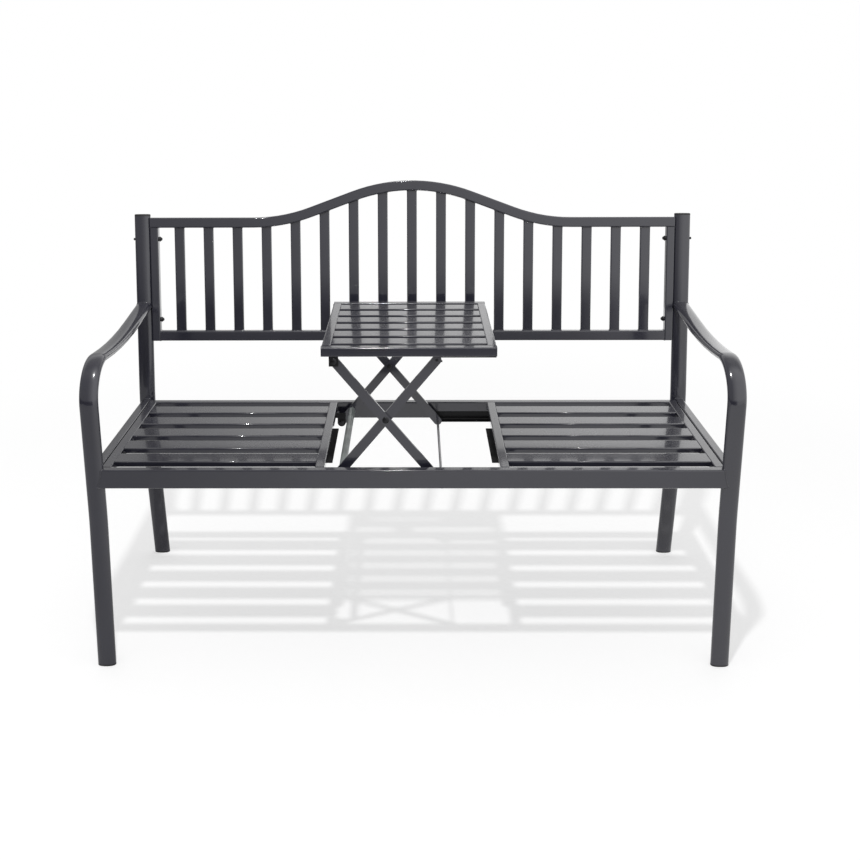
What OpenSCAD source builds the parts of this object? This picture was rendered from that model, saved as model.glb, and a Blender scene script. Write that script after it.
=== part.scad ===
// Garden bench for two with an arched slatted back and, between the seats,
// a slatted table that rises on a scissor lift and sinks flush with the seats.
// X runs along the bench, the front faces -Y, and the ground is at Z = 0.

/* [Overall] */
// Width over the two side frames
bench_w = 1400; // [1300:10:1600]
// Depth from the front of the arms to the back of the rear feet
bench_d = 580; // [560:5:640]
// Height of the seat above the ground
seat_h = 464; // [440:2:490]
// Height of the arm's front crown above the ground
arm_h = 700; // [675:5:740]
// Height of the post tubes' top ends above the ground
post_h = 930; // [900:5:990]

/* [Side frame tube] */
// Width of the leg, arm and post tube along the bench
tube_w = 40; // [36:1:44]
// Thickness of the leg, arm and post tube
tube_t = 20; // [18:1:22]
// Wall of the leg, arm and post tube
tube_wall = 1.5; // [1.2:0.1:2]
// Outer corner radius of the leg, arm and post tube
tube_r = 4; // [3:0.5:5]
// Thickness of the foot caps under the tubes
foot_t = 4; // [3:1:8]
// Thickness of the post caps over the tubes
cap_t = 4; // [3:1:6]
// Length of the plugs that the caps push into the tubes
plug_l = 18; // [12:1:30]
// Clearance of the plugs in the tubes
plug_play = 0.1; // [0.05:0.05:0.3]

/* [Front leg and arm] */
// Height where the front leg starts to lean forward
lean_start_h = 320; // [260:5:360]
// Forward lean of the upper front leg in degrees
front_lean = 4; // [2:0.5:6]
// Centreline radius of the curve into the forward lean
lean_r = 600; // [400:20:800]
// Centreline radius of the bend from leg to arm
bend_r = 80; // [65:1:90]
// Straight length between the crown of the arm and its dip
crown_l = 6; // [4:1:20]
// Slope in degrees at each end of the arm's dip
arm_dip = 6; // [4:0.5:7]
// Centreline radius of the arm's dip
arm_dip_r = 1300; // [1000:20:1500]

/* [Back post] */
// Backward lean of the post above the seat in degrees
back_lean = 5.2; // [3:0.2:8]
// Backward splay of the rear leg in degrees
rear_splay = 11.5; // [8:0.5:13]
// Height where the rear leg starts to curve into the post
post_bend_h = 325; // [290:5:350]
// Centreline radius of the curve from rear leg to post
post_bend_r = 600; // [500:20:700]

/* [Seat] */
// Height of the front and rear seat rails
rail_h = 42; // [36:1:50]
// Thickness of the front and rear seat rails
rail_t = 20; // [18:1:24]
// Wall of the seat rails and side stretchers
rail_wall = 1.5; // [1.2:0.1:2]
// Outer corner radius of the seat rails and side stretchers
rail_r = 3; // [2:0.5:4]
// Setback of the front rail behind the front of the arms
rail_setback = 13; // [11:1:18]
// Gap between the rear rail and the posts
rear_gap = 8; // [4:1:14]
// Height of the side stretchers between leg and post
stretcher_h = 40; // [30:1:50]
// Width of the side stretchers and of the seat panels' side rails
side_rail_w = 20; // [18:1:22]
// Height of the seat panels' side rails
side_rail_h = 20; // [18:1:24]
// Gap between a side stretcher and the seat panel beside it
side_gap = 2; // [1:0.5:4]
// Width of the opening between the two seat panels
opening_w = 378; // [360:2:400]
// Width of a seat slat
slat_w = 50; // [44:1:56]
// Thickness of a seat slat
slat_t = 12; // [10:1:16]
// Wall of the seat, back and table slats
slat_wall = 1; // [0.8:0.1:1.4]
// Corner radius of the seat and table slats
slat_r = 2; // [1.5:0.5:3]
// Number of slats on each seat
slat_n = 5; // [4:1:6]

/* [Back panel] */
// Height of the panel's lower edge above the ground
panel_low_h = 613; // [590:1:640]
// Drop of the panel's flat top below the post tubes' ends
panel_drop = 5; // [2:1:12]
// Thickness of the panel frame, front to back
panel_t = 20; // [18:1:22]
// Height of the top and bottom rails
panel_rail_h = 25; // [20:1:30]
// Width of the two uprights
upright_w = 20; // [18:1:26]
// Half span of the arch in the top rail
arch_half = 400; // [380:5:450]
// Rise of the arch above the flat top
arch_rise = 93; // [85:1:105]
// Steepest slope of the arch in degrees
arch_slope = 20.5; // [19.5:0.5:22]
// Width of a back slat
back_slat_w = 25; // [20:1:32]
// Thickness of a back slat
back_slat_t = 10; // [8:1:14]
// Distance between the centres of neighbouring back slats
back_slat_pitch = 73.4; // [65:0.2:85]
// Least distance from an upright to the centre of the last slat
back_slat_margin = 45; // [35:1:50]

/* [Table] */
// Height that the table rises above the seat
table_rise = 263; // [230:1:270]
// Gap that the lowered table keeps above its ledges
table_rest_gap = 0.3; // [0.2:0.1:1]
// Gap between the table and each seat panel
table_side_gap = 3; // [2:0.5:6]
// Gap between the table and the front and rear rails
table_end_gap = 4; // [3:0.5:6]
// Width and height of the square table frame tube
table_tube = 20; // [18:1:22]
// Wall of the table frame tube
table_wall = 1.2; // [1:0.1:1.6]
// Corner radius of the table frame tube
table_r = 2.5; // [1.5:0.5:3]
// Width of a table slat
table_slat_w = 50; // [44:1:54]
// Thickness of a table slat
table_slat_t = 10; // [8:1:14]
// Number of slats in the table
table_slat_n = 6; // [5:1:6]
// Thickness of the ledges that carry the lowered table
ledge_t = 3; // [2:0.5:4]
// Reach of the ledges into the opening
ledge_reach = 12; // [9:1:16]
// Width of the ledges under the seat panels' inner rails
ledge_seat = 18; // [12:1:20]
// Length of the ledges
ledge_l = 266; // [200:2:320]

/* [Scissor lift] */
// Width of the lift arms
arm_w = 20; // [18:1:22]
// Thickness of the lift arms
arm_t = 6; // [5:1:8]
// Gap between arms, brackets and slot plates that lie side by side
arm_gap = 1; // [0.8:0.1:1.5]
// Gap between the folded arms and what lies over or under them
fold_gap = 0.8; // [0.5:0.1:1.2]
// Diameter of the pivot pins
pivot_d = 8; // [6:1:10]
// Radial running clearance of the pivot pins
pivot_play = 0.05; // [0.02:0.01:0.1]
// Diameter of the heads of the pivot pins
pivot_head_d = 14; // [12:1:16]
// Thickness of the heads of the pivot pins
pivot_head_t = 3; // [2:0.5:4]
// Thickness of the flush rivet heads between the arms
rivet_t = 0.6; // [0.4:0.1:0.7]
// Diameter of the sliding rod and of the slide pins
rod_d = 6; // [5:1:8]
// Clearance of the rod and the slide pins in their slots, each side
slide_play = 0.3; // [0.2:0.1:0.5]
// Thickness of the pivot brackets and slot plates
bracket_t = 3; // [2:0.5:4]
// Sheet thickness of the slide channels
channel_t = 1.5; // [1:0.5:2]
// Depth of the slide channels, front to back
channel_d = 9; // [8:0.5:11]
// Height of the slide channels' back plate above the rod
channel_plate_h = 20; // [14:1:24]
// Outer diameter of the cross tube between the front and rear lift arms
brace_d = 16; // [12:1:18]
// Wall of the cross tube
brace_wall = 1.2; // [1:0.1:2]
// Distance of the cross tube from the lower pivots, along the arms
brace_pos = 41; // [36:1:60]
// Distance of the crossing pins from the lower pivots, along the arms
cross_pos = 189; // [184:1:192]
// Length of the lips that catch the slide pins of the raised table
catch_l = 12; // [8:1:16]

/* [Fasteners] */
// Diameter of the frame bolts
bolt_d = 6; // [5:1:8]
// Radial clearance of the frame bolts in their holes
bolt_play = 0.25; // [0.1:0.05:0.5]
// Diameter of the domed bolt heads
bolt_head_d = 13; // [11:1:15]
// Height of the domed bolt heads
bolt_head_h = 3.6; // [3:0.2:5]
// Width across the corners of the nuts
nut_d = 11.5; // [10:0.5:13]
// Height of the nuts
nut_h = 5; // [4:0.5:7]
// Distance of the back panel's bolts from its upper and lower edges
panel_bolt_inset = 54; // [40:1:70]

/* [Hidden] */
$fn = 48;
steel = "#3c3d41";
black = "#161617";
zinc = "#b9bcbf";

// Side frame: the leg and arm are one bent tube, the post and rear leg another
bend_draw = 0.02;
bend_lap = 1;
$draw = 0;
side_x = bench_w / 2 - tube_w / 2;
front_y = -bench_d / 2;
bend_y = front_y + bend_r + tube_t / 2;
bend_z = arm_h - bend_r - tube_t / 2;
leg_upper_l = (bend_z - bend_r * sin(front_lean) - lean_start_h - lean_r * sin(front_lean))
              / cos(front_lean);
leg_y = bend_y - bend_r * cos(front_lean) + leg_upper_l * sin(front_lean)
        + lean_r * (1 - cos(front_lean));
rear_foot_y = bench_d / 2 - tube_t / 2 / cos(rear_splay);
post_curve_y = rear_foot_y - post_bend_h * tan(rear_splay) + post_bend_r * cos(rear_splay);
post_face_y = post_curve_y - post_bend_r - tube_t / 2;
post_y = post_curve_y - post_bend_r * cos(back_lean);
post_z = post_bend_h + post_bend_r * (sin(rear_splay) + sin(back_lean));
post_l = (post_h - post_z) / cos(back_lean);
arm_y = bend_y + (bend_r + 2 * arm_dip_r) * sin(arm_dip) + crown_l * cos(arm_dip);
arm_z = bend_z + bend_r * cos(arm_dip) - crown_l * sin(arm_dip);
arm_l = ((post_y - arm_y) * cos(back_lean) - (post_z - arm_z) * sin(back_lean))
        / cos(arm_dip + back_lean);
spare = 2 * tube_t;
LEG_RUN = [["line", lean_start_h - foot_t], ["bend", lean_r, -front_lean],
           ["line", leg_upper_l], ["bend", bend_r, front_lean + 90 + arm_dip],
           ["line", crown_l], ["bend", arm_dip_r, -2 * arm_dip], ["line", arm_l]];
POST_RUN = [["line", spare + post_bend_h / cos(rear_splay)],
            ["bend", post_bend_r, rear_splay + back_lean], ["line", post_l]];

// Seat
rail_y = front_y + rail_setback;
rail_back_y = rail_y + rail_t;
rear_rail_y = post_face_y - rear_gap - rail_t;
seat_l = rear_rail_y - rail_back_y;
seat_mid_y = (rail_back_y + rear_rail_y) / 2;
stretcher_x = side_x;
outer_rail_x = stretcher_x - side_rail_w - side_gap;
inner_rail_x = opening_w / 2 + side_rail_w / 2;
seat_slat_l = outer_rail_x - inner_rail_x - side_rail_w;
slat_gap = (seat_l - slat_n * slat_w) / (slat_n + 1);
seat_bolt_inset = 1.5 * slat_gap + slat_w;
under_z = seat_h - side_rail_h;

// Back panel, in the leaning frame whose origin is where the post turns straight
panel_x = bench_w / 2 - tube_w;
panel_low = (panel_low_h - post_z) / cos(back_lean);
panel_top = post_l - panel_drop;
top_rail_z = panel_top - panel_rail_h / 2;
arch_r = (arch_half * sin(arch_slope) - arch_rise * cos(arch_slope)) / (2 * (1 - cos(arch_slope)));
arch_mid_l = (arch_half - 2 * arch_r * sin(arch_slope)) / cos(arch_slope);
arch_run = arch_r * sin(arch_slope);
back_slat_side_n = floor((panel_x - upright_w - back_slat_margin) / back_slat_pitch);
centre_slat_n = ceil(back_slat_side_n / 2) - 1;
TOP_RUN = [["line", panel_x - arch_half], ["bend", arch_r, arch_slope], ["line", arch_mid_l],
           ["bend", arch_r, -2 * arch_slope], ["line", arch_mid_l],
           ["bend", arch_r, arch_slope], ["line", panel_x - arch_half]];

// Table and lift. Heights are for the raised table, as the bench is drawn.
table_w = opening_w - 2 * table_side_gap;
table_y = rail_back_y + table_end_gap;
table_d = seat_l - 2 * table_end_gap;
table_low_z = seat_h + table_rest_gap;
table_z = table_low_z + table_rise;
table_slat_gap = (table_d - 2 * table_tube - table_slat_n * table_slat_w) / (table_slat_n + 1);
pivot_inset = arm_w / 2 + table_side_gap / 2;
pivot_x = -opening_w / 2 + pivot_inset;
hinge_drop = table_tube + arm_w / 2 + fold_gap;
fold_step = arm_w / 2 + rod_d / 2 + fold_gap;
pivot_z = table_low_z - hinge_drop - fold_step;
hinge_z = table_z - hinge_drop;
guide_end = 0.8;
plate_lap = 8;
slide_low_x = table_w / 2 - guide_end - rod_d / 2;
lift_l = sqrt(pow(slide_low_x - pivot_x, 2) + pow(fold_step, 2));
lift_angle = asin((hinge_z - pivot_z) / lift_l);
slide_x = pivot_x + lift_l * cos(lift_angle);
slot_h = rod_d + 2 * slide_play;

// The arms cross a little past their middle, so the table moves to the left as it rises.
cross_x = pivot_x + cross_pos * cos(lift_angle);
cross_z = pivot_z + cross_pos * sin(lift_angle);
slide_rod_x = pivot_x + 2 * cross_pos * cos(lift_angle);
hinge_x = slide_rod_x - lift_l * cos(lift_angle);
fold_angle = asin(fold_step / lift_l);
slide_rod_low_x = pivot_x + 2 * cross_pos * cos(fold_angle);
table_x = -(2 * cross_pos - lift_l) * (cos(fold_angle) - cos(lift_angle));

// Layers of the front lift, counted back from the front rail's rear face
slide_arm_y = rail_back_y + channel_d + arm_gap;
lift_arm_y = slide_arm_y + arm_t + arm_gap;
plate_y = lift_arm_y + arm_t + arm_gap;
hinge_plate_y = slide_arm_y - arm_gap - bracket_t;

// Height of the arched rail's centreline over the flat part, at x from the middle
function arch_height(x) =
  let (s = abs(x))
  s >= arch_half ? 0 :
  s >= arch_half - arch_run ? arch_r - sqrt(arch_r * arch_r - pow(arch_half - s, 2)) :
  s >= arch_run ? arch_rise / 2 + (arch_half / 2 - s) * tan(arch_slope) :
  arch_rise - arch_r + sqrt(arch_r * arch_r - s * s);

// Rectangle w by t about the origin with round corners
module round_rect(w, t, r) {
  a = w / 2 - $draw;
  b = t / 2 - $draw;
  square([2 * (a - r), 2 * b], center = true);
  square([2 * a, 2 * (b - r)], center = true);
  for (x = [-1, 1], y = [-1, 1]) {
    translate([x * (a - r), y * (b - r)]) circle(r, $fn = 24);
  }
}

// Cross-section of a rectangular tube
module tube_section(w, t, r, wall) {
  inner = wall - 2 * $draw;
  difference() {
    round_rect(w, t, r);
    round_rect(w - 2 * inner, t - 2 * inner, max(r - wall, 0.4));
  }
}

// One bend about an axis along X, towards +Y. Bending draws the tube's wall in by $draw,
// and the ends of the bend run on inside the walls of the straight lengths.
module bend(r, angle) {
  lap = bend_lap / r * 180 / PI;
  $draw = bend_draw;
  translate([0, r, 0]) rotate([90, 0, -90]) rotate(-lap)
    rotate_extrude(angle = angle + 2 * lap, $fn = 16 * ceil(360 / angle))
      translate([r, 0]) rotate(90) children();
}

// Sweeps a cross-section up +Z along straight lengths and bends in the YZ plane. Every
// bend lies between two straight lengths, and a positive angle turns it towards +Y.
module tube_run(runs, i = 0) {
  if (i < len(runs)) {
    run = runs[i];
    if (run[0] == "line") {
      linear_extrude(run[1]) children();
      translate([0, 0, run[1]]) tube_run(runs, i + 1) children();
    } else {
      side = sign(run[2]);
      rotate(side > 0 ? 0 : 180) bend(run[1], abs(run[2])) children();
      translate([0, side * run[1], 0]) rotate([-run[2], 0, 0])
        translate([0, -side * run[1], 0]) tube_run(runs, i + 1) children();
    }
  }
}

// Straight tube from the origin along +X: t is its depth in Y and h its height
module tube_along_x(l, t, h, r, wall) {
  rotate([90, 0, 90]) linear_extrude(l) tube_section(t, h, r, wall);
}

// Straight tube from the origin along +Y: w is its width in X and h its height
module tube_along_y(l, w, h, r, wall) {
  rotate([-90, 0, 0]) linear_extrude(l) tube_section(w, h, r, wall);
}

// Mirrors a piece of the front lift to the rear one
module at_rear() {
  translate([0, 2 * seat_mid_y, 0]) mirror([0, 1, 0]) children();
}

// Mirrors a piece of the right side to the left
module at_left() {
  mirror([1, 0, 0]) children();
}

// The leaning frame of the posts and the back panel
module in_back() {
  translate([0, post_y, post_z]) rotate([-back_lean, 0, 0]) children();
}

// Cylinder from y0 to y1, with its axis along Y
module rod_y(x, z, y0, y1, d) {
  translate([x, y1, z]) rotate([90, 0, 0]) cylinder(d = d, h = y1 - y0);
}

// Cylinder from x0 to x1, with its axis along X
module rod_x(x0, x1, y, z, d) {
  translate([x0, y, z]) rotate([0, 90, 0]) cylinder(d = d, h = x1 - x0);
}

// Domed bolt along X with its head outside x1 and its shank back to x0
module bolt_x(x0, x1, y, z) {
  rod_x(x0, x1, y, z, bolt_d);
  translate([x1, y, z]) rotate([0, 90, 0]) rotate_extrude() intersection() {
    translate([0, bolt_head_h - bolt_head_d]) circle(bolt_head_d, $fn = 96);
    square([bolt_head_d / 2, bolt_head_h]);
  }
}

// Leg and arm as a solid bar or, with a section as its child, as a tube
module leg_sweep() {
  translate([side_x, leg_y, foot_t]) tube_run(LEG_RUN) children();
}

module post_sweep() {
  translate([side_x, rear_foot_y, 0]) rotate([rear_splay, 0, 0])
    translate([0, 0, -spare]) tube_run(POST_RUN) children();
}

// What lies behind the front face of the leaning posts
module behind_posts() {
  in_back() translate([-bench_w, -tube_t / 2, 0]) cube([2 * bench_w, bench_d, post_h]);
}

module slab(z0, z1) {
  translate([-bench_w, -bench_d, z0]) cube([2 * bench_w, 2 * bench_d, z1 - z0]);
}

module back_bolt_holes() {
  for (z = [panel_low + panel_bolt_inset, panel_top - panel_bolt_inset]) {
    in_back() rod_x(panel_x - 2 * upright_w, bench_w / 2 + 1, 0, z, bolt_d + 2 * bolt_play);
  }
}

module seat_bolt_holes() {
  for (y = [rail_back_y + seat_bolt_inset, rear_rail_y - seat_bolt_inset]) {
    rod_x(outer_rail_x - side_rail_w, bench_w / 2, y, seat_h - side_rail_h / 2,
          bolt_d + 2 * bolt_play);
  }
}

module arm_leg() {
  color(steel) difference() {
    leg_sweep() tube_section(tube_w, tube_t, tube_r, tube_wall);
    behind_posts();
  }
}

module back_post() {
  color(steel) difference() {
    post_sweep() tube_section(tube_w, tube_t, tube_r, tube_wall);
    slab(-3 * spare, foot_t);
    back_bolt_holes();
  }
}

module stretcher() {
  color(steel) difference() {
    translate([stretcher_x, leg_y, seat_h - stretcher_h / 2])
      tube_along_y(post_face_y - leg_y + tube_t / 2, side_rail_w, stretcher_h, rail_r, rail_wall);
    leg_sweep() round_rect(tube_w, tube_t, tube_r);
    post_sweep() round_rect(tube_w, tube_t, tube_r);
    seat_bolt_holes();
  }
}

module seat_rail(y, half_l) {
  color(steel) translate([-half_l, y + rail_t / 2, seat_h - rail_h / 2])
    tube_along_x(2 * half_l, rail_t, rail_h, rail_r, rail_wall);
}

module side_rail(x) {
  translate([x, rail_back_y, seat_h - side_rail_h / 2])
    tube_along_y(seat_l, side_rail_w, side_rail_h, table_r, rail_wall);
}

module outer_seat_rail() {
  color(steel) difference() {
    side_rail(outer_rail_x);
    seat_bolt_holes();
  }
}

module inner_seat_rail() {
  color(steel) side_rail(inner_rail_x);
}

module seat_slats() {
  color(steel) for (i = [0 : slat_n - 1]) {
    translate([inner_rail_x + side_rail_w / 2,
               rail_back_y + slat_gap + slat_w / 2 + i * (slat_w + slat_gap),
               seat_h - slat_t / 2])
      tube_along_x(seat_slat_l, slat_w, slat_t, slat_r, slat_wall);
  }
}

module top_rail_sweep() {
  in_back() translate([-panel_x, 0, top_rail_z]) rotate([90, 0, 90]) tube_run(TOP_RUN) children();
}

module back_top_rail() {
  color(steel) top_rail_sweep() tube_section(panel_t, panel_rail_h, rail_r, rail_wall);
}

module back_bottom_rail() {
  l = panel_x - upright_w;
  color(steel) in_back() translate([-l, 0, panel_low + panel_rail_h / 2])
    tube_along_x(2 * l, panel_t, panel_rail_h, rail_r, rail_wall);
}

module back_upright() {
  l = top_rail_z - panel_rail_h / 2 - panel_low;
  color(steel) difference() {
    in_back() translate([panel_x - upright_w / 2, 0, panel_low])
      linear_extrude(l) tube_section(upright_w, panel_t, table_r, rail_wall);
    back_bolt_holes();
  }
}

// Back slats with the numbers from n0 to n1, counted from the middle one
module back_slats(n0, n1) {
  z0 = panel_low + panel_rail_h;
  color(steel) difference() {
    for (i = [n0 : n1]) {
      x = i * back_slat_pitch;
      in_back() translate([x, 0, z0]) linear_extrude(top_rail_z + arch_height(x) - z0)
        tube_section(back_slat_w, back_slat_t, slat_r, slat_wall);
    }
    top_rail_sweep() round_rect(panel_t, panel_rail_h, rail_r);
  }
}

module front_foot_caps() {
  color(black) for (side = [-1, 1]) {
    translate([side * side_x, leg_y, 0]) {
      linear_extrude(foot_t) round_rect(tube_w, tube_t, tube_r);
      linear_extrude(foot_t + plug_l) round_rect(tube_w - 2 * (tube_wall + plug_play),
        tube_t - 2 * (tube_wall + plug_play), tube_r - tube_wall);
    }
  }
}

module rear_foot_cap() {
  intersection() {
    post_sweep() round_rect(tube_w, tube_t, tube_r);
    slab(0, foot_t);
  }
  intersection() {
    post_sweep() round_rect(tube_w - 2 * (tube_wall + plug_play),
      tube_t - 2 * (tube_wall + plug_play), tube_r - tube_wall);
    slab(foot_t / 2, foot_t + plug_l);
  }
}

module rear_foot_caps() {
  color(black) {
    rear_foot_cap();
    at_left() rear_foot_cap();
  }
}

module post_caps() {
  color(black) for (side = [-1, 1]) {
    in_back() translate([side * side_x, 0, post_l]) {
      linear_extrude(cap_t) round_rect(tube_w, tube_t, tube_r);
      translate([0, 0, -plug_l]) linear_extrude(plug_l + cap_t / 2)
        round_rect(tube_w - 2 * (tube_wall + plug_play),
          tube_t - 2 * (tube_wall + plug_play), tube_r - tube_wall);
    }
  }
}

module back_bolts_right() {
  for (z = [panel_low + panel_bolt_inset, panel_top - panel_bolt_inset]) {
    in_back() bolt_x(panel_x - upright_w - nut_h - 1, bench_w / 2, 0, z);
  }
}

module back_bolts() {
  color(zinc) {
    back_bolts_right();
    at_left() back_bolts_right();
  }
}

module nut_x(x0, y, z) {
  translate([x0, y, z]) rotate([0, 90, 0]) difference() {
    cylinder(d = nut_d, h = nut_h, $fn = 6);
    translate([0, 0, -1]) cylinder(d = bolt_d + 2 * pivot_play, h = nut_h + 2);
  }
}

module back_nuts_right() {
  for (z = [panel_low + panel_bolt_inset, panel_top - panel_bolt_inset]) {
    in_back() nut_x(panel_x - upright_w - nut_h, 0, z);
  }
}

module back_nuts() {
  color(black) {
    back_nuts_right();
    at_left() back_nuts_right();
  }
}

module seat_bolts_right() {
  for (y = [rail_back_y + seat_bolt_inset, rear_rail_y - seat_bolt_inset]) {
    bolt_x(outer_rail_x - side_rail_w / 2 - nut_h - 1, stretcher_x + side_rail_w / 2, y,
           seat_h - side_rail_h / 2);
  }
}

module seat_bolts() {
  color(zinc) {
    seat_bolts_right();
    at_left() seat_bolts_right();
  }
}

module seat_nuts_right() {
  for (y = [rail_back_y + seat_bolt_inset, rear_rail_y - seat_bolt_inset]) {
    nut_x(outer_rail_x - side_rail_w / 2 - nut_h, y, seat_h - side_rail_h / 2);
  }
}

module seat_nuts() {
  color(black) {
    seat_nuts_right();
    at_left() seat_nuts_right();
  }
}

module seat_spacers_right() {
  for (y = [rail_back_y + seat_bolt_inset, rear_rail_y - seat_bolt_inset]) {
    z = seat_h - side_rail_h / 2;
    x = outer_rail_x + side_rail_w / 2;
    difference() {
      rod_x(x, x + side_gap, y, z, bolt_head_d);
      rod_x(x - 1, x + side_gap + 1, y, z, bolt_d + 2 * bolt_play);
    }
  }
}

module seat_spacers() {
  color(black) {
    seat_spacers_right();
    at_left() seat_spacers_right();
  }
}

module table_ledge() {
  color(black) translate([opening_w / 2 - ledge_reach, seat_mid_y - ledge_l / 2, under_z - ledge_t])
    cube([ledge_reach + ledge_seat, ledge_l, ledge_t]);
}

// Channel on the front rail in which the end of the sliding rod runs
module slide_channel() {
  x0 = slide_rod_x - rod_d / 2 - slide_play - channel_t;
  l = slide_rod_low_x + rod_d - x0;
  z0 = pivot_z - slot_h / 2 - channel_t;
  color(black) {
    translate([x0, rail_back_y, z0]) rotate([90, 0, 90]) linear_extrude(l) {
      square([channel_t, slot_h / 2 + channel_t + channel_plate_h]);
      square([channel_d, channel_t]);
      translate([0, slot_h + channel_t]) square([channel_d, channel_t]);
    }
    translate([x0, rail_back_y, z0]) cube([channel_t, channel_d, slot_h + 2 * channel_t]);
  }
}

// Bracket under the left inner rail that carries the lower pivot of a lift arm
module pivot_bracket() {
  top = under_z - pivot_z;
  left = -opening_w / 2 - pivot_x;
  color(black) translate([pivot_x, plate_y + bracket_t, pivot_z]) rotate([90, 0, 0])
    linear_extrude(bracket_t) difference() {
      union() {
        circle(arm_w / 2);
        translate([-arm_w / 2, 0]) square([arm_w, top]);
        translate([left - side_rail_w, top / 2]) square([side_rail_w + arm_w / 2, top / 2]);
      }
      circle(d = pivot_d + 2 * pivot_play);
    }
}

module lower_pivot_pin() {
  rod_y(pivot_x, pivot_z, lift_arm_y, plate_y + bracket_t, pivot_d);
  rod_y(pivot_x, pivot_z, plate_y + bracket_t, plate_y + bracket_t + pivot_head_t, pivot_head_d);
  rod_y(pivot_x, pivot_z, lift_arm_y - rivet_t, lift_arm_y, arm_w / 2 + 2);
}

module lower_pivot_pins() {
  color(zinc) {
    lower_pivot_pin();
    at_rear() lower_pivot_pin();
  }
}

// Flat bar from the origin along +X with round ends and holes of the listed [x, diameter]
module flat_bar(holes) {
  linear_extrude(arm_t) difference() {
    union() {
      translate([0, -arm_w / 2]) square([lift_l, arm_w]);
      circle(arm_w / 2);
      translate([lift_l, 0]) circle(arm_w / 2);
    }
    for (hole = holes) {
      translate([hole[0], 0]) circle(d = hole[1]);
    }
  }
}

// Arm that rises to the right from the pivot on the bench to the pin under the table
module lift_arm() {
  color(steel) translate([pivot_x, lift_arm_y + arm_t, pivot_z]) rotate([90, 0, 0])
    rotate(lift_angle) flat_bar([[0, pivot_d + 2 * pivot_play],
      [cross_pos, pivot_d + 2 * pivot_play], [lift_l, rod_d + 2 * pivot_play]]);
}

// Arm that falls to the right from the hinge under the table to the sliding rod
module slide_arm() {
  color(steel) translate([hinge_x, slide_arm_y + arm_t, hinge_z]) rotate([90, 0, 0])
    rotate(-lift_angle) flat_bar([[0, pivot_d + 2 * pivot_play],
      [lift_l - cross_pos, pivot_d + 2 * pivot_play], [lift_l, rod_d + 2 * pivot_play]]);
}

module lift_cross_tube() {
  y0 = lift_arm_y + arm_t;
  y1 = 2 * seat_mid_y - y0;
  x = pivot_x + brace_pos * cos(lift_angle);
  z = pivot_z + brace_pos * sin(lift_angle);
  color(steel) difference() {
    rod_y(x, z, y0, y1, brace_d);
    rod_y(x, z, y0 - 1, y1 + 1, brace_d - 2 * brace_wall);
  }
}

module slide_pin() {
  head_y = plate_y + bracket_t + arm_gap / 2;
  rod_y(slide_x, hinge_z, lift_arm_y, head_y, rod_d);
  rod_y(slide_x, hinge_z, head_y, head_y + pivot_head_t, 2 * rod_d);
}

module slide_pins() {
  color(zinc) {
    slide_pin();
    at_rear() slide_pin();
  }
}

module slide_rod() {
  y0 = rail_back_y + channel_t + arm_gap / 2;
  color(zinc) rod_y(slide_rod_x, pivot_z, y0, 2 * seat_mid_y - y0, rod_d);
}

module centre_pin() {
  rod_y(cross_x, cross_z, slide_arm_y - pivot_head_t, slide_arm_y, pivot_head_d);
  rod_y(cross_x, cross_z, slide_arm_y, lift_arm_y + arm_t + arm_gap + nut_h, pivot_d);
}

module centre_pins() {
  color(black) {
    centre_pin();
    at_rear() centre_pin();
  }
}

module centre_nut() {
  y = lift_arm_y + arm_t + pivot_play;
  difference() {
    translate([cross_x, y + nut_h, cross_z]) rotate([90, 0, 0])
      cylinder(d = pivot_head_d, h = nut_h, $fn = 6);
    rod_y(cross_x, cross_z, y - 1, y + nut_h + 1, pivot_d + 2 * pivot_play);
  }
}

module centre_nuts() {
  color(black) {
    centre_nut();
    at_rear() centre_nut();
  }
}

module centre_washer() {
  difference() {
    rod_y(cross_x, cross_z, slide_arm_y + arm_t, lift_arm_y - pivot_play, pivot_head_d);
    rod_y(cross_x, cross_z, slide_arm_y, lift_arm_y + 1, pivot_d + 2 * pivot_play);
  }
}

module centre_washers() {
  color(black) {
    centre_washer();
    at_rear() centre_washer();
  }
}

module table_cross_rail(y) {
  color(steel) translate([table_x - table_w / 2, y + table_tube / 2, table_z - table_tube / 2])
    tube_along_x(table_w, table_tube, table_tube, table_r, table_wall);
}

module table_side_rail(side) {
  x = table_x + side * (table_w - table_tube) / 2;
  color(steel) translate([x, table_y + table_tube, table_z - table_tube / 2])
    tube_along_y(table_d - 2 * table_tube, table_tube, table_tube, table_r, table_wall);
}

module table_slats() {
  l = table_w - 2 * table_tube;
  pitch = table_slat_w + table_slat_gap;
  color(steel) for (i = [0 : table_slat_n - 1]) {
    y = table_y + table_tube + table_slat_gap + table_slat_w / 2 + i * pitch;
    translate([table_x - l / 2, y, table_z - table_slat_t / 2])
      tube_along_x(l, table_slat_w, table_slat_t, slat_r, slat_wall);
  }
}

// Ear under the table's front rail that carries the upper hinge of a slide arm
module hinge_bracket() {
  top = hinge_drop - table_tube;
  bottom = arm_w / 2 + fold_gap;
  color(black) translate([hinge_x, hinge_plate_y + bracket_t, hinge_z]) rotate([90, 0, 0])
    linear_extrude(bracket_t) difference() {
      translate([-arm_w / 2, -bottom]) square([arm_w, bottom + top]);
      circle(d = pivot_d + 2 * pivot_play);
    }
}

module table_hinge_pin() {
  rod_y(hinge_x, hinge_z, hinge_plate_y, slide_arm_y + arm_t, pivot_d);
  rod_y(hinge_x, hinge_z, hinge_plate_y - pivot_head_t, hinge_plate_y, pivot_head_d);
  rod_y(hinge_x, hinge_z, slide_arm_y + arm_t, slide_arm_y + arm_t + rivet_t, arm_w / 2 + 2);
}

module table_hinge_pins() {
  color(zinc) {
    table_hinge_pin();
    at_rear() table_hinge_pin();
  }
}

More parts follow.
